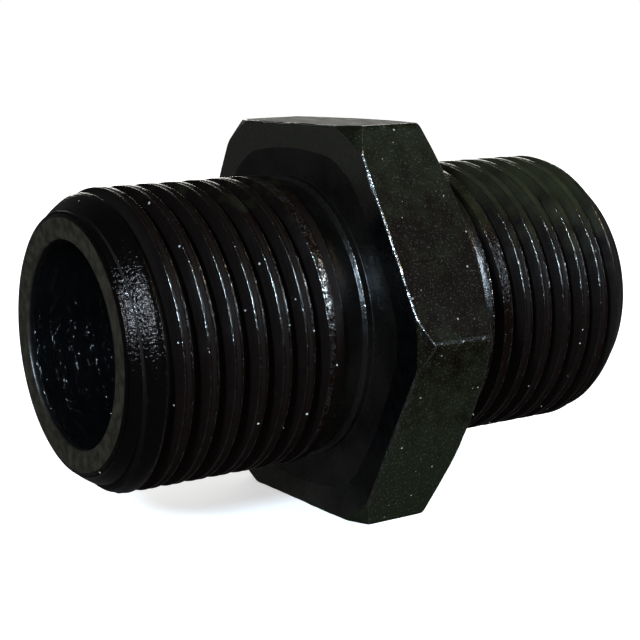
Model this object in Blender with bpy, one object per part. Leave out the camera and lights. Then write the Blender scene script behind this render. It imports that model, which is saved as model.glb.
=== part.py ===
"""Hex nipple: a hexagon with a parallel pipe thread on each side and a bore from end to end.

It is one solid, turned and threaded from hexagonal steel bar. The thread axis is X, and the
hexagon lies flat on its bottom face, with +Z up. The origin is on the axis, halfway along.
"""

import math

import bmesh
import bpy

MM = 0.001

# Hexagon
HEX_WIDTH = 7.0 * MM  # along the axis
ACROSS_FLATS = 28.0 * MM
NEAR_CHAMFER_RADIUS = 15.19 * MM  # where the near face's corner chamfer begins
NEAR_CHAMFER_SLOPE = 0.879  # axial length per radial length
FAR_CHAMFER_RADIUS = 12.86 * MM
FAR_CHAMFER_SLOPE = 0.457

# Threaded ends, each measured outward from its face of the hexagon
NEAR_LENGTH = 17.8 * MM
FAR_LENGTH = 17.2 * MM
END_FACE_RADIUS = 8.75 * MM
END_CHAMFER_SLOPE = 0.786  # radial length per axial length
BORE_RADIUS = 7.1 * MM
BORE_EDGE = 0.25 * MM  # edge break where the bore meets an end face

# G 1/2 thread, right-handed, with its crests cut flat
PITCH = 1.814 * MM
CREST_RADIUS = 10.4 * MM
THREAD_DEPTH = 0.98 * MM
ROOT_FLAT = 0.067 * PITCH
HALF_ANGLE = math.radians(27.5)
NEAR_PHASE = 0.675  # where a crest crosses the +Y side: pitches past the hexagon's near face
FAR_PHASE = 0.93
RUNOUT_START = 3.96 * MM  # from here towards the hexagon the groove grows shallower
RUNOUT_END = 3.11 * MM  # and here it has gone

# Relief neck between the thread and the hexagon, and the small shoulder at its foot
NECK_LENGTH = 2.44 * MM
NECK_RADIUS = 9.93 * MM
SHOULDER_LENGTH = 0.5 * MM
SHOULDER_RADIUS = 10.2 * MM
STEP = 0.15 * MM  # axial length of the slope at each end of the neck

COLUMNS = 36  # around the axis; a multiple of six puts a column on each hexagon corner
SNAP = 0.03 * MM  # a thread point this close to the end face moves onto it
WELD = 0.002 * MM
SPARE_GROOVES = 6  # computed past the thread's ends, where they shrink to nothing

NEAR, FAR = -1, 1
LENGTHS = {NEAR: NEAR_LENGTH, FAR: FAR_LENGTH}
PHASES = {NEAR: NEAR_PHASE, FAR: FAR_PHASE}
HEX_CENTRE = (NEAR_LENGTH - FAR_LENGTH) / 2
FACES = {side: HEX_CENTRE + side * HEX_WIDTH / 2 for side in (NEAR, FAR)}

STEEL_COLOUR = (0.030, 0.029, 0.027, 1.0)
STEEL_ROUGHNESS = 0.34
STEEL_METALLIC = 0.9


def clear_scene():
    for obj in list(bpy.data.objects):
        bpy.data.objects.remove(obj, do_unlink=True)


def groove_depth(centre):
    """Depth of the thread groove whose centre is this far from the hexagon's face."""
    share = (centre - RUNOUT_END) / (RUNOUT_START - RUNOUT_END)
    return THREAD_DEPTH * min(1.0, max(0.0, share))


def chamfer_radius(side, distance):
    """Radius of the cone at the end of the thread, at this distance from the hexagon's face."""
    return END_FACE_RADIUS + (LENGTHS[side] - distance) * END_CHAMFER_SLOPE


def groove_points(side, turn):
    """Corners of every thread groove along one line of the end, as (x, radius) with x rising."""
    points = []
    pitches = math.ceil(LENGTHS[side] / PITCH) + SPARE_GROOVES
    indices = range(-pitches, SPARE_GROOVES) if side == NEAR else range(pitches)
    for index in indices:
        centre = FACES[NEAR] + (index + 0.5 + PHASES[side] + turn) * PITCH
        distance = max(RUNOUT_END, side * (centre - FACES[side]))
        depth = groove_depth(distance)
        half_root = ROOT_FLAT / 2 * min(1.0, 4 * depth / THREAD_DEPTH)
        half_mouth = half_root + depth * math.tan(HALF_ANGLE)
        for offset, cut in ((-half_mouth, 0), (-half_root, depth), (half_root, depth), (half_mouth, 0)):
            place = distance + side * offset
            if place > LENGTHS[side] - SNAP:
                place = LENGTHS[side]
            radius = min(CREST_RADIUS - cut, chamfer_radius(side, place))
            points.append((FACES[side] + side * place, radius))
    return points


def neck_points(side):
    """Relief neck and shoulder, from the thread to the hexagon's face, as (x, radius)."""
    steps = (
        (NECK_LENGTH, CREST_RADIUS),
        (NECK_LENGTH - STEP, NECK_RADIUS),
        (SHOULDER_LENGTH + STEP, NECK_RADIUS),
        (SHOULDER_LENGTH, SHOULDER_RADIUS),
        (0.0, SHOULDER_RADIUS),
    )
    return [(FACES[side] + side * distance, radius) for distance, radius in steps]


def hexagon_points(angle):
    """Outline of the chamfered hexagon along one line, as (x, radius) with x rising."""
    from_flat = angle % math.radians(60) - math.radians(30)
    prism = ACROSS_FLATS / 2 / math.cos(from_flat)
    near_cut = max(0.0, prism - NEAR_CHAMFER_RADIUS) * NEAR_CHAMFER_SLOPE
    far_cut = max(0.0, prism - FAR_CHAMFER_RADIUS) * FAR_CHAMFER_SLOPE
    return [
        (FACES[NEAR], min(prism, NEAR_CHAMFER_RADIUS)),
        (FACES[NEAR] + near_cut, prism),
        (FACES[FAR] - far_cut, prism),
        (FACES[FAR], min(prism, FAR_CHAMFER_RADIUS)),
    ]


def section(column):
    """Closed outline of the solid on one half plane through the axis, as (x, radius)."""
    turn = column / COLUMNS
    near_end = FACES[NEAR] - NEAR_LENGTH
    far_end = FACES[FAR] + FAR_LENGTH
    points = [(near_end, BORE_RADIUS + BORE_EDGE), (near_end, END_FACE_RADIUS)]
    points += groove_points(NEAR, turn)
    points += neck_points(NEAR)
    points += hexagon_points(2 * math.pi * (column % COLUMNS) / COLUMNS)
    points += reversed(neck_points(FAR))
    points += groove_points(FAR, turn)
    points += [(far_end, END_FACE_RADIUS), (far_end, BORE_RADIUS + BORE_EDGE)]
    points += [(far_end - BORE_EDGE, BORE_RADIUS), (near_end + BORE_EDGE, BORE_RADIUS)]
    return points


def nipple_mesh():
    """Joins the sections round the axis; each groove meets the next one where the turn closes."""
    shape = bmesh.new()
    rings = []
    for column in range(COLUMNS + 1):
        angle = 2 * math.pi * (column % COLUMNS) / COLUMNS
        across, up = math.cos(angle), math.sin(angle)
        rings.append([shape.verts.new((x, r * across, r * up)) for x, r in section(column)])
    for this, following in zip(rings, rings[1:]):
        for index in range(len(this)):
            after = (index + 1) % len(this)
            shape.faces.new((this[index], this[after], following[after], following[index]))
    bmesh.ops.remove_doubles(shape, verts=shape.verts, dist=WELD)
    bmesh.ops.dissolve_degenerate(shape, edges=shape.edges, dist=WELD)
    bmesh.ops.triangulate(shape, faces=shape.faces)
    bmesh.ops.recalc_face_normals(shape, faces=shape.faces)
    mesh = bpy.data.meshes.new("nipple_body")
    shape.to_mesh(mesh)
    shape.free()
    mesh.shade_smooth()
    mesh.set_sharp_from_angle(angle=math.radians(22))
    return mesh


def blackened_steel():
    material = bpy.data.materials.new("blackened_steel")
    material.use_nodes = True
    shader = material.node_tree.nodes["Principled BSDF"]
    shader.inputs["Base Color"].default_value = STEEL_COLOUR
    shader.inputs["Roughness"].default_value = STEEL_ROUGHNESS
    shader.inputs["Metallic"].default_value = STEEL_METALLIC
    return material


def build():
    clear_scene()
    body = bpy.data.objects.new("nipple_body", nipple_mesh())
    body.data.materials.append(blackened_steel())
    bpy.context.scene.collection.objects.link(body)


build()
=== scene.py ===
"""The looks of the hex nipple: one fine mesh for the whole fitting, blackened steel and a studio."""

import math

import bmesh
import bpy
from mathutils import Matrix, Vector, noise


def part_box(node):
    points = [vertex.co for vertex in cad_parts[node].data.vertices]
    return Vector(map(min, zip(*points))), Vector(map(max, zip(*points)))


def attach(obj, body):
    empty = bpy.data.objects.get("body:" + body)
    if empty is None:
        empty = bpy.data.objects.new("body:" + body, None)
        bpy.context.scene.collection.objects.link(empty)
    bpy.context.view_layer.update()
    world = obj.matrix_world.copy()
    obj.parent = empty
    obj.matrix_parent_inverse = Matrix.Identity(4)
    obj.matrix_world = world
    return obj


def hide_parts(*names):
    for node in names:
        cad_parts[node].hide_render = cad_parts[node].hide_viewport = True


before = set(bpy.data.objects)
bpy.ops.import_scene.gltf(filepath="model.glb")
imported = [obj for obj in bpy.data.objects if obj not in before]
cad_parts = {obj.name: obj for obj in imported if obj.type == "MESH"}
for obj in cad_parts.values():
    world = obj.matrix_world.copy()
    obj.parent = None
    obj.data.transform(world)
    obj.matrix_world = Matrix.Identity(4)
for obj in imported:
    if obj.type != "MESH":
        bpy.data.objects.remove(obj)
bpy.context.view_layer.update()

MM = 0.001
NODE = "nipple_body"
BOX_LOW, BOX_HIGH = (Vector(corner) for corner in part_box(NODE))

# The hexagon and the threaded ends, as the part's design has them
HEX_WIDTH = 7.0 * MM
APOTHEM = BOX_HIGH.z
NEAR_CHAMFER_RADIUS = 15.19 * MM
NEAR_CHAMFER_SLOPE = 0.879
FAR_CHAMFER_RADIUS = 12.86 * MM
FAR_CHAMFER_SLOPE = 0.457
END_FACE_RADIUS = 8.75 * MM
END_CHAMFER_SLOPE = 0.786
BORE_RADIUS = 7.1 * MM
PITCH = 1.814 * MM
CREST_RADIUS = 10.4 * MM
THREAD_DEPTH = 0.98 * MM
ROOT_FLAT = 0.067 * PITCH
HALF_ANGLE = math.radians(27.5)
RUNOUT_START = 3.96 * MM
RUNOUT_END = 3.11 * MM
NECK_LENGTH = 2.44 * MM
NECK_RADIUS = 9.93 * MM
NECK_LEAN = 0.18 * MM  # of the neck's wall at the thread, along the axis
SHOULDER_LENGTH = 0.5 * MM
SHOULDER_RADIUS = 10.2 * MM
SHOULDER_LEAN = 0.22 * MM  # of the neck's wall at the shoulder, along the axis

NEAR, FAR = -1, 1
END_DIFFERENCE = 0.6 * MM  # the near threaded end is this much longer than the far one
HEX_CENTRE = END_DIFFERENCE / 2
FACES = {side: HEX_CENTRE + side * HEX_WIDTH / 2 for side in (NEAR, FAR)}
LENGTHS = {NEAR: FACES[NEAR] - BOX_LOW.x, FAR: BOX_HIGH.x - FACES[FAR]}
PHASES = {NEAR: 0.675, FAR: 0.93}  # pitches from the near face to a crest, on the +Y side

# Fine detail
EDGE_ROUND = 0.14 * MM  # of the end faces' outer edges
BORE_ROUND = 0.25 * MM  # of the bore's edges
HEX_ROUND = 0.30 * MM  # of the hexagon's six corners
HEX_EDGE_ROUND = 0.18 * MM  # of the edges around its two faces
CREST_ROUND = 0.06 * MM
ROOT_ROUND = 0.20 * MM
CHAMFER_BLEND = 0.45 * MM  # how softly the end chamfer runs into the crests
CREST_FURROW = 0.07 * MM  # depth of the hollow along the middle of each crest
CHAMFER_SWELL = 0.06 * MM  # how far the threads stand out of the end chamfer between their grooves

# How fine the mesh is
ARC_STEPS = 3  # in a rounded edge
LIP_STEPS = 2  # in a rounded edge of the thread
COLUMNS = 264
CORNER_OFFSETS = (-1.6, -0.8, 0.0, 0.8, 1.6)  # degrees, extra columns about each hexagon corner
NARROWEST_COLUMN = 0.25  # degrees
CREST_SHARES = ((0.25, 0.6), (0.5, 1.0), (0.75, 0.6))  # way across a crest, share of its furrow or swell
FACE_MARGIN = 0.4 * MM  # around the shoulder, where the hexagon's faces have no ring
FACE_SHARES = (0.5, 0.95)  # rings on those faces, on the way from the margin to the edge
FLAT_SHARES = (0.03, 0.14, 0.3, 0.5, 0.7, 0.86, 0.97)  # rings on its flats, from the near edge
BORE_SHARES = (0.98, 0.6, 0.2, -0.2, -0.6, -0.98)  # rings in the bore, as shares of its half length
SPARE_GROOVES = 6  # more than fit in the length; those past the thread's ends shrink to nothing
SNAP = 0.02 * MM  # points this close to an end face's rim are moved onto it
WELD = 0.001 * MM  # points closer than this are one
AREA_WEIGHT = 60  # above 50, larger faces count for more in the smooth shading

# Wear, from 0 for none to 1 for an edge worn bright
CREST_WEAR = 0.5  # beside the thread's lips, and across the crests where the thread has run out
CHAMFER_WEAR = 0.45  # share of the lips' wear that they have on the end chamfer
SWELL_WEAR = 0.11  # between the lips on the end chamfer
RIM_WEAR = 0.3  # of the end faces' outer edges
BORE_WEAR = 0.4  # of the bore's edges
CORNER_WEAR = 0.35  # of the hexagon's six corners
CHAMFERED_EDGE_WEARS = (0.2, 0.0)  # around the hexagon's face, and where that edge's two curves meet
SHARP_EDGE_WEARS = (0.8, 1.0)  # the same where there is no chamfer between the curves

# Dents in the worn edges, as (size, greatest depth, share); a larger share dents more of the edge
HEX_DENTS = ((1.9 * MM, 0.09 * MM, 0.6), (0.8 * MM, 0.05 * MM, 0.5))
THREAD_DENTS = ((2.2 * MM, 0.04 * MM, 0.5), (0.9 * MM, 0.02 * MM, 0.4))
HOLLOW_SIZE = 2.5 * MM  # of the shallow hollows in the hexagon's flats
HOLLOW_DEPTH = 0.012 * MM  # of those hollows, on average

# Material zones, in slot order
THREAD, NECK, HEX_FACE, HEX_FLAT, END_FACE, BORE = range(6)
GREY_METAL = (0.0138, 0.0116, 0.0106)  # darkened steel that shows through a thin finish
LUSTRE_REACH = (18.4, 19.2)  # mm from the hexagon's middle, where the grey metal starts and is full
LUSTRE = 0.94  # how much of it shows where it is full

# Camera
AZIMUTH = math.radians(-32.605)
ELEVATION = math.radians(10.204)
ROLL = math.radians(-1.251)
DISTANCE = 115.53 * MM
SIDEWAYS = -1.05 * MM
UPWARDS = -0.71 * MM
LENS = 87.7
SENSOR = 36.0
CLIP_START = 5 * MM

# Lamps: direction from the fitting, width, height (degrees), radiance, colour, turn (degrees)
LAMP_DISTANCE = 0.30
LAMPS = {
    "streak_light": ((0.48, -0.78, 0.39), 6, 22, 110.0, (0.70, 0.85, 1.0), -20),
    "chamfer_light": ((-0.72, -0.56, 0.40), 6, 10, 240.0, (0.64, 0.82, 1.0), 0),
    "warm_light": ((0.36, -0.66, 0.66), 6, 22, 16.0, (1.0, 0.70, 0.30), -20),
    "back_light": ((0.53, 0.83, 0.22), 36, 16, 4.5, (1.0, 0.97, 0.91), 0),
}
ROOM = {"seen": 1.0, "gloss": 0.05, "soft": 0.55}  # brightness to the camera, in reflections, otherwise
FLOOR_HALF = 3.0
FLOOR_GLOW = 0.55
FLOOR_COLOURS = ((0.86, 0.86, 0.86), (0.90, 0.90, 0.90))


# ---------------------------------------------------------------- outline of the solid


def bend(before, corner, after, steps=ARC_STEPS):
    """Points on a smooth curve that leaves one side of a corner and joins the other."""
    points = []
    for step in range(steps + 1):
        t = step / steps
        a, b, c = (1 - t) ** 2, 2 * t * (1 - t), t**2
        points.append(tuple(a * p + b * q + c * s for p, q, s in zip(before, corner, after)))
    return points


def bend_wears(first, last):
    """Wear at the points of a bend: whole between its two ends."""
    return [first] + [1.0] * (ARC_STEPS - 1) + [last]


def towards(start, end, length):
    """The point this far along the way from start to end, at most half way."""
    gap = math.dist(start, end)
    share = min(0.5, length / gap) if gap else 0.0
    return tuple(p + (q - p) * share for p, q in zip(start, end))


def round_corner(before, corner, after, size, steps=ARC_STEPS):
    return bend(towards(corner, before, size), corner, towards(corner, after, size), steps)


def cone_radius(side, distance):
    """Radius of the end chamfer's cone at this distance from the hexagon."""
    return END_FACE_RADIUS + (LENGTHS[side] - distance) * END_CHAMFER_SLOPE


def top_radius(side, distance):
    """Radius of the crests and the end chamfer, which blend into each other."""
    crest, cone, blend = CREST_RADIUS, cone_radius(side, distance), CHAMFER_BLEND
    overlap = max(0.0, blend - abs(crest - cone))
    return min(crest, cone) - overlap**2 / (4 * blend)


def groove(side, centre):
    """Outline of one thread groove as (distance from the hexagon, radius, wear)."""
    limit = LENGTHS[side] - EDGE_ROUND
    centre = min(max(centre, RUNOUT_END), LENGTHS[side] + PITCH)
    # The groove grows from nothing along the run-out, and its floor is full width a quarter of the way
    share = min(1.0, max(0.0, (centre - RUNOUT_END) / (RUNOUT_START - RUNOUT_END)))
    root = CREST_RADIUS - THREAD_DEPTH * share
    half_root = ROOT_FLAT / 2 * min(1.0, 4 * share)
    inner, outer = centre - half_root, centre + half_root
    # Each flank ends at the crest or at the end chamfer, whichever it meets first
    run = math.tan(HALF_ANGLE)
    slope, start = END_CHAMFER_SLOPE, cone_radius(side, 0.0)
    mouth_in = max(inner - (CREST_RADIUS - root) * run, (root + inner / run - start) / (1 / run - slope))
    mouth_in = min(mouth_in, inner)
    mouth_out = min(outer + (CREST_RADIUS - root) * run, (start - root + outer / run) / (1 / run + slope))
    mouth_out = max(mouth_out, outer)

    def top(distance):
        return distance, top_radius(side, distance)

    size = CREST_ROUND * share
    bottom_in, bottom_out = (inner, root), (outer, root)
    lip_in = round_corner(top(mouth_in - size), top(mouth_in), bottom_in, size, LIP_STEPS)
    lip_out = round_corner(bottom_out, top(mouth_out), top(mouth_out + size), size, LIP_STEPS)
    floor_in = round_corner(lip_in[-1], bottom_in, bottom_out, ROOT_ROUND, LIP_STEPS)
    floor_out = round_corner(bottom_in, bottom_out, lip_out[0], ROOT_ROUND, LIP_STEPS)
    outline = []
    none = (0.0, 0.0, 0.0)
    lip = (CREST_WEAR * share, share, 0.0)
    for points, wears in ((lip_in, lip), (floor_in, none), (floor_out, none), (lip_out, lip[::-1])):
        for (distance, radius), wear in zip(points, wears):
            if distance > limit - SNAP:
                distance, radius = limit, CREST_RADIUS
            if cone_radius(side, distance) < CREST_RADIUS:
                wear *= CHAMFER_WEAR
            outline.append((distance, min(radius, top_radius(side, distance)), wear))
    return outline


def crest_points(side, last, following):
    """Points across the crest between two grooves: a furrow, or a swell on the end chamfer."""
    full = min(last[2], following[2]) / CREST_WEAR  # 1, or less at the run-out and the end chamfer
    points = []
    for share, part in CREST_SHARES:
        distance = last[0] + (following[0] - last[0]) * share
        chamfered = cone_radius(side, distance) < CREST_RADIUS
        swell = CHAMFER_SWELL if chamfered else -full * CREST_FURROW
        wear = SWELL_WEAR if chamfered else CREST_WEAR * (1 - full)
        points.append((distance, top_radius(side, distance) + part * swell, wear))
    return points


def thread_points(side, turn):
    """Every groove of one end, with the crests between them, as (x, radius, wear)."""
    pitches = math.ceil(LENGTHS[side] / PITCH) + SPARE_GROOVES
    indices = range(-pitches, SPARE_GROOVES) if side == NEAR else range(pitches)
    points = []
    for index in indices:
        centre = FACES[NEAR] + (index + 0.5 + PHASES[side] + turn) * PITCH
        outline = groove(side, side * (centre - FACES[side]))[::side]
        if points:
            points += crest_points(side, points[-1], outline[0])
        points += outline
    return [(FACES[side] + side * distance, radius, wear) for distance, radius, wear in points]


def neck_points(side):
    """Relief neck and shoulder, from the thread to the face of the hexagon."""
    corners = (  # distance from the hexagon, radius, size of the rounding
        (RUNOUT_END, CREST_RADIUS, 0),
        (NECK_LENGTH, CREST_RADIUS, 0.10 * MM),
        (NECK_LENGTH - NECK_LEAN, NECK_RADIUS, 0.15 * MM),
        (SHOULDER_LENGTH + SHOULDER_LEAN, NECK_RADIUS, 0.10 * MM),
        (SHOULDER_LENGTH, SHOULDER_RADIUS, 0.06 * MM),
        (0.0, SHOULDER_RADIUS, 0.10 * MM),
        (0.0, SHOULDER_RADIUS + 1 * MM, 0),
    )
    points = []
    for before, corner, after in zip(corners, corners[1:], corners[2:]):
        wear = 1.0 if corner[1] > NECK_RADIUS and corner[0] > 0 else 0.0
        curve = round_corner(before[:2], corner[:2], after[:2], corner[2])
        for (distance, radius), part in zip(curve, bend_wears(0.0, 0.0)):
            points.append((FACES[side] + side * distance, radius, wear * part))
    return points


def off_corner(angle):
    """Angle from the hexagon's nearest corner to this direction."""
    return (angle + math.radians(30)) % math.radians(60) - math.radians(30)


def prism_radius(angle):
    """Radius of the hexagonal bar in this direction, its six corners rounded."""
    from_corner = off_corner(angle)
    arc_centre = (APOTHEM - HEX_ROUND) / math.cos(math.radians(30))
    sideways = arc_centre * math.sin(abs(from_corner))
    if sideways > HEX_ROUND * math.sin(math.radians(30)):
        return APOTHEM / math.cos(math.radians(30) - abs(from_corner))
    return arc_centre * math.cos(from_corner) + math.sqrt(HEX_ROUND**2 - sideways**2)


def corner_wear(angle):
    """How worn the bar is in this direction: only its six corners are."""
    return CORNER_WEAR * max(0.0, 1 - math.degrees(abs(off_corner(angle))) / CORNER_OFFSETS[-1])


def hex_edge(side, angle, chamfer_radius, chamfer_slope):
    """The hexagon's edge on one side, from its face to its flat, rolled over a small radius."""
    size = HEX_EDGE_ROUND
    lean = math.atan(chamfer_slope)  # of the chamfer from the face
    face_x, flat_r = size, prism_radius(angle) - size
    # The chamfer, moved inwards by the rolling radius: x = (radius - chamfer_radius) * slope + shift
    shift = size / math.cos(lean)
    low_r = chamfer_radius + (face_x - shift) / chamfer_slope
    high_x = (flat_r - chamfer_radius) * chamfer_slope + shift
    if low_r < flat_r:
        centres = ((face_x, low_r), (high_x, flat_r))
        face_wear, meeting_wear = CHAMFERED_EDGE_WEARS
    else:
        centres = ((face_x, flat_r), (face_x, flat_r))
        face_wear, meeting_wear = SHARP_EDGE_WEARS
    arc = bend_wears(0.0, meeting_wear)
    rolls = ((0.0, lean, [part * face_wear for part in arc]), (lean, math.pi / 2, arc[::-1]))
    points = []
    for (x, radius), (first, last, wears) in zip(centres, rolls):
        for step, wear in enumerate(wears):
            a = first + (last - first) * step / ARC_STEPS
            edge = (x - size * math.cos(a), radius + size * math.sin(a))
            points.append((FACES[side] - side * edge[0], edge[1], wear))
    return points


def hexagon_points(angle):
    """The hexagon's near face, near edge, flat, far edge and far face, in that order."""
    near = hex_edge(NEAR, angle, NEAR_CHAMFER_RADIUS, NEAR_CHAMFER_SLOPE)
    far = hex_edge(FAR, angle, FAR_CHAMFER_RADIUS, FAR_CHAMFER_SLOPE)
    inner = SHOULDER_RADIUS + FACE_MARGIN
    rings = []
    for side, edge in ((NEAR, near), (FAR, far)):
        rings.append([(FACES[side], inner + (edge[0][1] - inner) * share, 0.0) for share in FACE_SHARES])
    flat = []
    for share in FLAT_SHARES:
        x = near[-1][0] + (far[-1][0] - near[-1][0]) * share
        flat.append((x, near[-1][1], corner_wear(angle)))
    return rings[0], near, flat, far[::-1], rings[1][::-1]


def end_points(side):
    """The edges of an end face, each from outside to inside: its rim, and its lip at the bore."""
    end = FACES[side] + side * LENGTHS[side]
    cone_start = (end - side * EDGE_ROUND, cone_radius(side, LENGTHS[side] - EDGE_ROUND))
    rim = bend(cone_start, (end, END_FACE_RADIUS), (end, END_FACE_RADIUS - EDGE_ROUND))
    inside = (end - side * BORE_ROUND, BORE_RADIUS)
    lip = bend((end, BORE_RADIUS + BORE_ROUND), (end, BORE_RADIUS), inside)
    return [(x, r, RIM_WEAR) for x, r in rim], [(x, r, BORE_WEAR) for x, r in lip]


def section(turn):
    """Closed outline at one angle: its points (x, radius, wear) and the zone after each point."""
    angle = 2 * math.pi * (turn % 1.0)
    near_rim, near_lip = end_points(NEAR)
    far_rim, far_lip = end_points(FAR)
    near_ring, near_edge, flat, far_edge, far_ring = hexagon_points(angle)
    bore = [(far_lip[-1][0] * share, BORE_RADIUS, 0.0) for share in BORE_SHARES]
    parts = (
        (near_lip[::-1], END_FACE),
        (near_rim[::-1], THREAD),
        (thread_points(NEAR, turn), THREAD),
        (neck_points(NEAR), NECK),
        (near_ring, HEX_FACE),
        (near_edge, HEX_FLAT),
        (flat, HEX_FLAT),
        (far_edge, HEX_FLAT),
        (far_ring, HEX_FACE),
        (neck_points(FAR)[::-1], NECK),
        (thread_points(FAR, turn), THREAD),
        (far_rim, END_FACE),
        (far_lip, BORE),
        (bore, BORE),
    )
    points, zones = [], []
    for part, zone in parts:
        points += part
        zones += [zone] * len(part)
    return points, zones


# ---------------------------------------------------------------- wear on the metal


def dent(place, size, depth, share):
    """How deep a worn edge is dented here, which is nothing between the dents."""
    value = noise.noise(place / size) * 0.5 + 0.5
    return depth * max(0.0, value - (1 - share)) / share


def worn_radius(x, radius, angle, wear, zone):
    """The radius after wear, which is never more than the radius as made."""
    place = Vector((x, radius * math.cos(angle), radius * math.sin(angle)))
    if zone == HEX_FLAT:
        rub = sum(dent(place, *kind) for kind in HEX_DENTS)
        hollow = HOLLOW_DEPTH * (noise.noise(place / HOLLOW_SIZE) + 1)
        return radius - wear * rub - (1 - wear) * hollow
    if zone == THREAD:
        rub = sum(dent(place, *kind) for kind in THREAD_DENTS)
        return radius - wear * rub
    return radius


# ---------------------------------------------------------------- mesh


def column_turns():
    """Where the outlines stand, in turns about the axis: evenly, and closer at the hexagon's corners."""
    turns = {column / COLUMNS for column in range(COLUMNS)}
    for corner in range(6):
        turns |= {(corner * 60 + offset) % 360 / 360 for offset in CORNER_OFFSETS}
    turns = sorted(turns)
    apart = [turns[0]] + [b for a, b in zip(turns, turns[1:]) if b - a > NARROWEST_COLUMN / 360]
    return apart + [1.0]


def kept_points(points):
    """For each point of an outline, the number of the kept point that stands for it."""
    numbers, kept = [0], [points[0]]
    for point in points[1:]:
        if math.dist(point[:2], kept[-1][:2]) > WELD:
            kept.append(point)
        numbers.append(len(kept) - 1)
    return numbers, kept


def nipple_mesh():
    """One closed skin over the whole fitting: an outline for each angle, joined to the next one."""
    shape = bmesh.new()
    wear_layer = shape.verts.layers.float.new("wear")
    columns, first = [], None
    for turn in column_turns():
        angle = 2 * math.pi * (turn % 1.0)
        across, up = math.cos(angle), math.sin(angle)
        points, zones = section(turn)
        numbers, kept = kept_points(points)
        # A kept point has the zone of the first point that it stands for
        zone_of = {number: zone for number, zone in zip(numbers[::-1], zones[::-1])}
        if turn < 1.0:
            vertices = []
            for number, (x, radius, wear) in enumerate(kept):
                radius = worn_radius(x, radius, angle, wear, zone_of[number])
                vertex = shape.verts.new((x, radius * across, radius * up))
                vertex[wear_layer] = wear
                vertices.append(vertex)
            first = first or vertices
        else:
            vertices = first  # the outline has come round to where it began
        columns.append([vertices[number] for number in numbers])
    for this, following in zip(columns, columns[1:]):
        for index, zone in enumerate(zones):
            after = (index + 1) % len(this)
            corners = list(dict.fromkeys((this[index], this[after], following[after], following[index])))
            if len(corners) > 2:
                face = shape.faces.new(corners)
                face.material_index = zone
                face.smooth = True
    bmesh.ops.triangulate(shape, faces=shape.faces)
    bmesh.ops.recalc_face_normals(shape, faces=shape.faces)
    mesh = bpy.data.meshes.new("nipple")
    shape.to_mesh(mesh)
    shape.free()
    return mesh


def nipple():
    mesh = nipple_mesh()
    for material in (thread_steel(), neck_steel(), face_steel(), flat_steel(), end_steel(), bore_steel()):
        mesh.materials.append(material)
    fitting = bpy.data.objects.new("nipple_skin", mesh)
    bpy.context.scene.collection.objects.link(fitting)
    normals = fitting.modifiers.new("even_normals", "WEIGHTED_NORMAL")
    normals.weight = AREA_WEIGHT
    return fitting


# ---------------------------------------------------------------- materials


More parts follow.
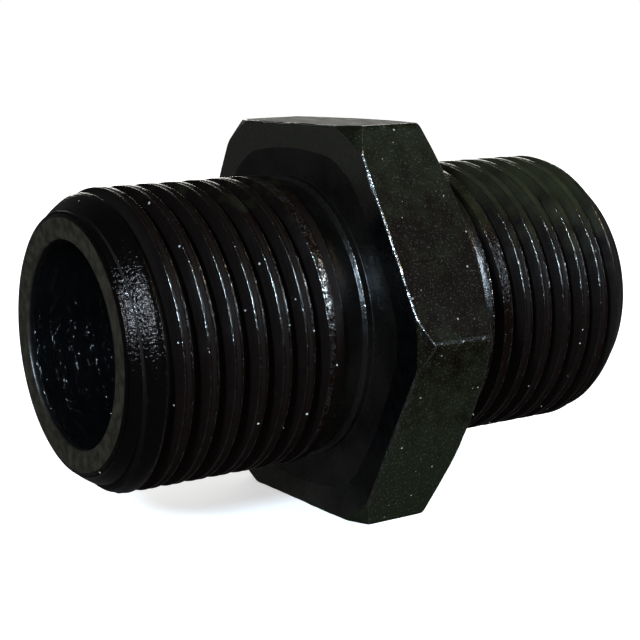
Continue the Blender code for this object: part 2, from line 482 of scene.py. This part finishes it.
class Paint:
    """A material with short ways to add its nodes; places are measured in millimetres."""

    def __init__(self, name):
        self.material = bpy.data.materials.new(name)
        self.material.use_nodes = True
        self.tree = self.material.node_tree
        self.shader = self.tree.nodes["Principled BSDF"]
        position = self.add("ShaderNodeTexCoord").outputs["Object"]
        scale = self.add("ShaderNodeVectorMath", operation="SCALE")
        scale.inputs["Scale"].default_value = 1 / MM
        self.tree.links.new(position, scale.inputs[0])
        self.place = scale.outputs[0]
        split = self.add("ShaderNodeSeparateXYZ")
        self.set(split.inputs[0], self.place)
        self.x, self.y, self.z = split.outputs
        wear = self.add("ShaderNodeAttribute", attribute_name="wear")
        self.wear = wear.outputs["Fac"]

    def add(self, kind, **settings):
        node = self.tree.nodes.new(kind)
        for name, value in settings.items():
            setattr(node, name, value)
        return node

    def set(self, socket, value):
        if isinstance(value, bpy.types.NodeSocket):
            self.tree.links.new(value, socket)
        elif isinstance(value, tuple) and len(value) == 3 and socket.type == "RGBA":
            socket.default_value = (*value, 1)
        else:
            socket.default_value = value

    def math(self, operation, first, second=0.0, third=0.0):
        node = self.add("ShaderNodeMath", operation=operation)
        for socket, value in zip(node.inputs, (first, second, third)):
            self.set(socket, value)
        return node.outputs[0]

    def noise(self, scale, detail=3.0, shift=0.0):
        """Cloudy pattern from 0 to 1 with this many lumps per millimetre."""
        node = self.add("ShaderNodeTexNoise")
        moved = self.add("ShaderNodeVectorMath", operation="ADD")
        self.set(moved.inputs[0], self.place)
        moved.inputs[1].default_value = (shift, shift, shift)
        self.set(node.inputs["Vector"], moved.outputs[0])
        self.set(node.inputs["Scale"], scale)
        self.set(node.inputs["Detail"], detail)
        return node.outputs["Fac"]

    def dots(self, scale, share, size):
        """Small separate specks: one place in each cell, kept in this share of the cells."""
        node = self.add("ShaderNodeTexVoronoi")
        self.set(node.inputs["Vector"], self.place)
        self.set(node.inputs["Scale"], scale)
        split = self.add("ShaderNodeSeparateColor")
        self.set(split.inputs[0], node.outputs["Color"])
        kept = self.math("LESS_THAN", split.outputs[0], share)
        reach = self.math("MULTIPLY", split.outputs[1], size * scale)
        near = self.math("LESS_THAN", node.outputs["Distance"], reach)
        return self.math("MULTIPLY", kept, near)

    def spread(self, value, low, high, to_low=0.0, to_high=1.0):
        node = self.add("ShaderNodeMapRange")
        names = ("Value", "From Min", "From Max", "To Min", "To Max")
        for name, number in zip(names, (value, low, high, to_low, to_high)):
            self.set(node.inputs[name], number)
        return node.outputs["Result"]

    def mix(self, factor, first, second):
        node = self.add("ShaderNodeMix", data_type="RGBA")
        sockets = {socket.identifier: socket for socket in (*node.inputs, *node.outputs)}
        for name, value in (("Factor_Float", factor), ("A_Color", first), ("B_Color", second)):
            self.set(sockets[name], value)
        return sockets["Result_Color"]

    def bump(self, height, depth, normal=None):
        """Relief of this depth in millimetres for a height from 0 to 1."""
        node = self.add("ShaderNodeBump")
        self.set(node.inputs["Height"], height)
        self.set(node.inputs["Distance"], depth * MM)
        if normal:
            self.set(node.inputs["Normal"], normal)
        return node.outputs["Normal"]

    def radius(self):
        """Distance from the axis of the bore, in millimetres."""
        squares = self.math("MULTIPLY", self.z, self.z)
        return self.math("SQRT", self.math("MULTIPLY_ADD", self.y, self.y, squares))

    def rings(self, coordinate, spacing, wobble=0.25):
        """Turning marks: waves along a coordinate, uneven in strength."""
        shaken = self.math("MULTIPLY_ADD", self.noise(0.5, 2.0), wobble, coordinate)
        wave = self.math("SINE", self.math("MULTIPLY", shaken, 2 * math.pi / spacing))
        return self.math("MULTIPLY", wave, self.noise(0.7, 2.0, 7.0))


def blotches(paint):
    """Clouds a few millimetres wide, broken up by small ones."""
    cloud = paint.math("MULTIPLY_ADD", paint.noise(5.0, 3.0, 3.0), 0.35, paint.noise(0.35, 4.0))
    return paint.spread(cloud, 0.5, 0.85)


def rubbed_bare(paint, rub):
    """Where the finish is gone, from 0 to 1: flecks of bare metal on the most worn edges."""
    fleck = paint.math("MULTIPLY_ADD", paint.noise(7.0, 2.0, 9.0), 0.6, paint.noise(1.5, 3.0, 15.0))
    return paint.spread(paint.math("MULTIPLY_ADD", paint.wear, rub, fleck), 1.12, 1.65)


def fine_relief(paint, grain, pits):
    """Grain in two sizes, and pits wherever the metal is worn; both depths are in millimetres."""
    normal = paint.bump(paint.noise(9.0, 4.0, 11.0), grain)
    normal = paint.bump(paint.noise(2.2, 3.0, 13.0), grain * 2, normal)
    pitted = paint.math("MULTIPLY", paint.noise(5.0, 2.5, 31.0), paint.spread(paint.wear, 0.0, 0.08))
    return paint.bump(pitted, pits, normal)


def black_steel(
    name, dark, light, gloss, grain, rub, bare_colour, polish, dust_and_glints, shine=0.5, relief=None, tone=blotches,
    speck_colour=(0.30, 0.30, 0.29), mottle=0.0, pits=0.01, lustre=None,
):
    """Oiled black finish on steel: uneven colour and gloss, fine grain, specks and worn edges.

    dark and light are the finish's two colours, and tone a function that says where it is light; in the
    thread, face and flat zones that is painted light and shade. gloss is the lowest and highest roughness,
    and shine the strength of the reflection. grain and pits are the depths of the fine relief in mm, and
    relief is a function that adds the zone's own marks. rub is how far the edges are worn, to bare_colour
    with the roughness polish. lustre is a function that says where grey metal shows through.
    dust_and_glints says how pale specks of speck_colour lie, partly dirt and partly painted glints: cells
    per mm, share of the cells and size in mm. mottle is how much of that colour clouds the rest.
    """
    paint = Paint(name)
    # pale painted specks: partly dirt and partly painted glints
    specks = paint.dots(*dust_and_glints)
    bare = rubbed_bare(paint, rub)
    through = lustre(paint) if lustre else 0.0

    # in the thread, face and flat zones the tone paints light and shade into the colour
    colour = paint.mix(tone(paint), dark, light)
    colour = paint.mix(through, colour, GREY_METAL)
    colour = paint.mix(bare, colour, bare_colour)
    clouded = paint.spread(paint.noise(8.0, 1.0, 25.0), 0.60, 0.74, 0.0, mottle)
    colour = paint.mix(clouded, colour, speck_colour)
    colour = paint.mix(specks, colour, speck_colour)
    paint.set(paint.shader.inputs["Base Color"], colour)

    rough = paint.spread(paint.noise(1.2, 5.0, 5.0), 0.3, 0.7, *gloss)
    rough = paint.spread(paint.wear, 0.02, 0.12, rough, polish)
    rough = paint.spread(bare, 0.0, 1.0, rough, polish)
    paint.set(paint.shader.inputs["Roughness"], rough)

    metal = paint.math("MAXIMUM", paint.spread(bare, 0.0, 0.15), through)
    metal = paint.math("SUBTRACT", metal, specks)
    paint.set(paint.shader.inputs["Metallic"], paint.math("MAXIMUM", metal, 0.0))
    paint.shader.inputs["Specular IOR Level"].default_value = shine

    normal = fine_relief(paint, grain, pits)
    if relief:
        normal = relief(paint, normal)
    paint.set(paint.shader.inputs["Normal"], normal)
    return paint.material


def thread_steel():
    def relief(paint, normal):
        return paint.bump(paint.rings(paint.x, 0.22, 0.4), 0.004, normal)

    def tone(paint):  # painted sheen: lighter above and towards the far end
        along = paint.math("MULTIPLY_ADD", paint.x, 0.02, paint.noise(0.5, 4.0))
        return paint.spread(paint.math("MULTIPLY_ADD", paint.z, 0.09, along), 1.15, 1.75)

    def lustre(paint):  # on the end chamfers
        along = paint.math("ABSOLUTE", paint.math("SUBTRACT", paint.x, HEX_CENTRE / MM))
        return paint.spread(along, *LUSTRE_REACH, 0.0, LUSTRE)

    return black_steel(
        "thread_steel",
        dark=(0.0022, 0.0011, 0.0008),
        # the light colour is the painted sheen on the top and the far end
        light=(0.0130, 0.0140, 0.0066),
        gloss=(0.50, 0.68),
        grain=0.009,
        rub=0.7,
        bare_colour=(0.26, 0.255, 0.24),
        polish=0.12,
        dust_and_glints=(1.1, 0.22, 0.10),
        shine=0.05,
        relief=relief,
        tone=tone,
        pits=0.065,
        lustre=lustre,
    )


def neck_steel():
    return black_steel(
        "neck_steel",
        dark=(0.0015, 0.0013, 0.0011),
        light=(0.0035, 0.0030, 0.0025),
        gloss=(0.18, 0.30),
        grain=0.016,
        rub=0.75,
        bare_colour=(0.25, 0.24, 0.22),
        polish=0.18,
        dust_and_glints=(1.1, 0.05, 0.08),
        shine=0.3,
        pits=0.03,
    )


def face_steel():
    def relief(paint, normal):
        return paint.bump(paint.rings(paint.radius(), 0.35), 0.008, normal)

    def tone(paint):  # painted light and shade: lighter above and below, most of all above and at the back, and darker about the middle
        upper_back = paint.math("MULTIPLY", paint.math("ADD", paint.y, paint.z), 0.25)
        away = paint.math("ADD", upper_back, paint.math("ABSOLUTE", paint.z))
        return paint.spread(paint.math("MULTIPLY_ADD", paint.noise(0.3, 4.0), 6.0, away), 9.0, 14.5)

    return black_steel(
        "face_steel",
        dark=(0.0004, 0.0004, 0.0005),
        light=(0.0085, 0.0078, 0.0056),
        gloss=(0.20, 0.42),
        grain=0.008,
        rub=0.5,
        bare_colour=(0.20, 0.19, 0.17),
        polish=0.35,
        dust_and_glints=(1.1, 0.03, 0.08),
        shine=0.3,
        relief=relief,
        tone=tone,
    )


def flat_steel():
    def tone(paint):  # painted light and shade: darkest a little above the axis, lighter towards the top and the bottom
        away = paint.math("ABSOLUTE", paint.math("SUBTRACT", paint.z, 4.0))
        return paint.spread(paint.math("MULTIPLY_ADD", paint.noise(0.7, 8.0, 21.0), 24.0, away), 13.5, 23.0)

    return black_steel(
        "flat_steel",
        dark=(0.0019, 0.0010, 0.0004),
        light=(0.0046, 0.0056, 0.0027),
        gloss=(0.45, 0.62),
        grain=0.012,
        rub=0.6,
        bare_colour=(0.5, 0.49, 0.47),
        polish=0.26,
        dust_and_glints=(2.3, 0.17, 0.08),
        shine=0.02,
        tone=tone,
        speck_colour=(0.14, 0.135, 0.12),
        mottle=0.10,
        pits=0.035,
    )


def end_steel():
    def relief(paint, normal):
        return paint.bump(paint.rings(paint.radius(), 0.25), 0.008, normal)

    def tone(paint):
        return paint.spread(paint.noise(1.6, 6.0, 19.0), 0.38, 0.64)

    return black_steel(
        "end_steel",
        dark=(0.0050, 0.0038, 0.0021),
        light=(0.0142, 0.0120, 0.0074),
        gloss=(0.35, 0.55),
        grain=0.008,
        rub=0.2,
        bare_colour=(0.20, 0.19, 0.16),
        polish=0.35,
        dust_and_glints=(1.1, 0.03, 0.08),
        relief=relief,
        tone=tone,
    )


def bore_steel():
    def relief(paint, normal):  # broken tool marks 1.3 mm apart, and fine rings
        step = paint.spread(paint.math("PINGPONG", paint.x, 0.65), 0.2, 0.34)
        broken = paint.spread(paint.noise(2.2, 3.0, 17.0), 0.52, 0.66)
        normal = paint.bump(paint.math("MULTIPLY", step, broken), 0.06, normal)
        return paint.bump(paint.rings(paint.x, 0.30, 0.5), 0.006, normal)

    return black_steel(
        "bore_steel",
        dark=(0.0010, 0.0010, 0.0011),
        light=(0.0016, 0.0016, 0.0018),
        gloss=(0.12, 0.22),
        grain=0.003,
        rub=0.4,
        bare_colour=(0.2, 0.2, 0.19),
        polish=0.3,
        dust_and_glints=(1.1, 0.10, 0.09),
        shine=0.9,
        relief=relief,
    )


# ---------------------------------------------------------------- studio


def floor():
    mesh = bpy.data.meshes.new("floor")
    signs = ((-1, -1), (1, -1), (1, 1), (-1, 1))
    mesh.from_pydata([(x * FLOOR_HALF, y * FLOOR_HALF, BOX_LOW.z) for x, y in signs], [], [(0, 1, 2, 3)])
    plane = bpy.data.objects.new("floor", mesh)
    bpy.context.scene.collection.objects.link(plane)
    paint = Paint("pale_floor")
    paint.set(paint.shader.inputs["Base Color"], paint.mix(paint.noise(0.02), *FLOOR_COLOURS))
    paint.shader.inputs["Roughness"].default_value = 0.9
    paint.shader.inputs["Specular IOR Level"].default_value = 0.1
    paint.shader.inputs["Emission Color"].default_value = (1, 1, 1, 1)
    paint.shader.inputs["Emission Strength"].default_value = FLOOR_GLOW
    mesh.materials.append(paint.material)
    plane.visible_glossy = False


def soft_light(name, direction, width, height, radiance, colour, spin):
    """A rectangular lamp, its size and turn given as angles in degrees seen from the fitting."""
    lamp = bpy.data.lights.new(name, "AREA")
    lamp.shape = "RECTANGLE"
    lamp.size = 2 * LAMP_DISTANCE * math.tan(math.radians(width / 2))
    lamp.size_y = 2 * LAMP_DISTANCE * math.tan(math.radians(height / 2))
    lamp.energy = radiance * math.pi * lamp.size * lamp.size_y
    lamp.color = colour
    outward = Vector(direction).normalized()
    holder = bpy.data.objects.new(name, lamp)
    turn = Matrix.Rotation(math.radians(spin), 4, outward)
    aim = outward.to_track_quat("Z", "Y").to_matrix().to_4x4()
    holder.matrix_world = Matrix.Translation(outward * LAMP_DISTANCE) @ turn @ aim
    bpy.context.scene.collection.objects.link(holder)


def studio():
    """The lamps, and a white room that is darker in reflections than it looks."""
    for name, settings in LAMPS.items():
        soft_light(name, *settings)
    world = bpy.data.worlds.new("studio_air")
    world.use_nodes = True
    tree = world.node_tree
    tree.nodes.clear()
    path = tree.nodes.new("ShaderNodeLightPath")
    out = tree.nodes.new("ShaderNodeOutputWorld")
    shades = {}
    for name, strength in ROOM.items():
        shades[name] = tree.nodes.new("ShaderNodeBackground")
        shades[name].inputs["Color"].default_value = (1, 1, 1, 1)
        shades[name].inputs["Strength"].default_value = strength
    by_gloss = tree.nodes.new("ShaderNodeMixShader")
    by_camera = tree.nodes.new("ShaderNodeMixShader")
    tree.links.new(path.outputs["Is Glossy Ray"], by_gloss.inputs[0])
    tree.links.new(shades["soft"].outputs[0], by_gloss.inputs[1])
    tree.links.new(shades["gloss"].outputs[0], by_gloss.inputs[2])
    tree.links.new(path.outputs["Is Camera Ray"], by_camera.inputs[0])
    tree.links.new(by_gloss.outputs[0], by_camera.inputs[1])
    tree.links.new(shades["seen"].outputs[0], by_camera.inputs[2])
    tree.links.new(by_camera.outputs[0], out.inputs["Surface"])
    bpy.context.scene.world = world
    bpy.context.scene.view_settings.view_transform = "Standard"


def camera():
    flat = math.cos(ELEVATION)
    back = Vector((math.sin(AZIMUTH) * flat, -math.cos(AZIMUTH) * flat, math.sin(ELEVATION)))
    level = Vector((math.cos(AZIMUTH), math.sin(AZIMUTH), 0))
    rise = back.cross(level)
    right = math.cos(ROLL) * level + math.sin(ROLL) * rise
    up = math.cos(ROLL) * rise - math.sin(ROLL) * level
    place = Vector((HEX_CENTRE, 0, 0)) + DISTANCE * back + SIDEWAYS * right + UPWARDS * up
    lens = bpy.data.cameras.new("camera")
    lens.lens = LENS
    lens.sensor_width = SENSOR
    lens.clip_start = CLIP_START
    view = bpy.data.objects.new("camera", lens)
    view.matrix_world = Matrix.Translation(place) @ Matrix((right, up, back)).transposed().to_4x4()
    bpy.context.scene.collection.objects.link(view)
    bpy.context.scene.camera = view


# ---------------------------------------------------------------- scene

camera()
studio()
floor()
fitting = nipple()
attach(fitting, "root")
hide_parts(NODE)
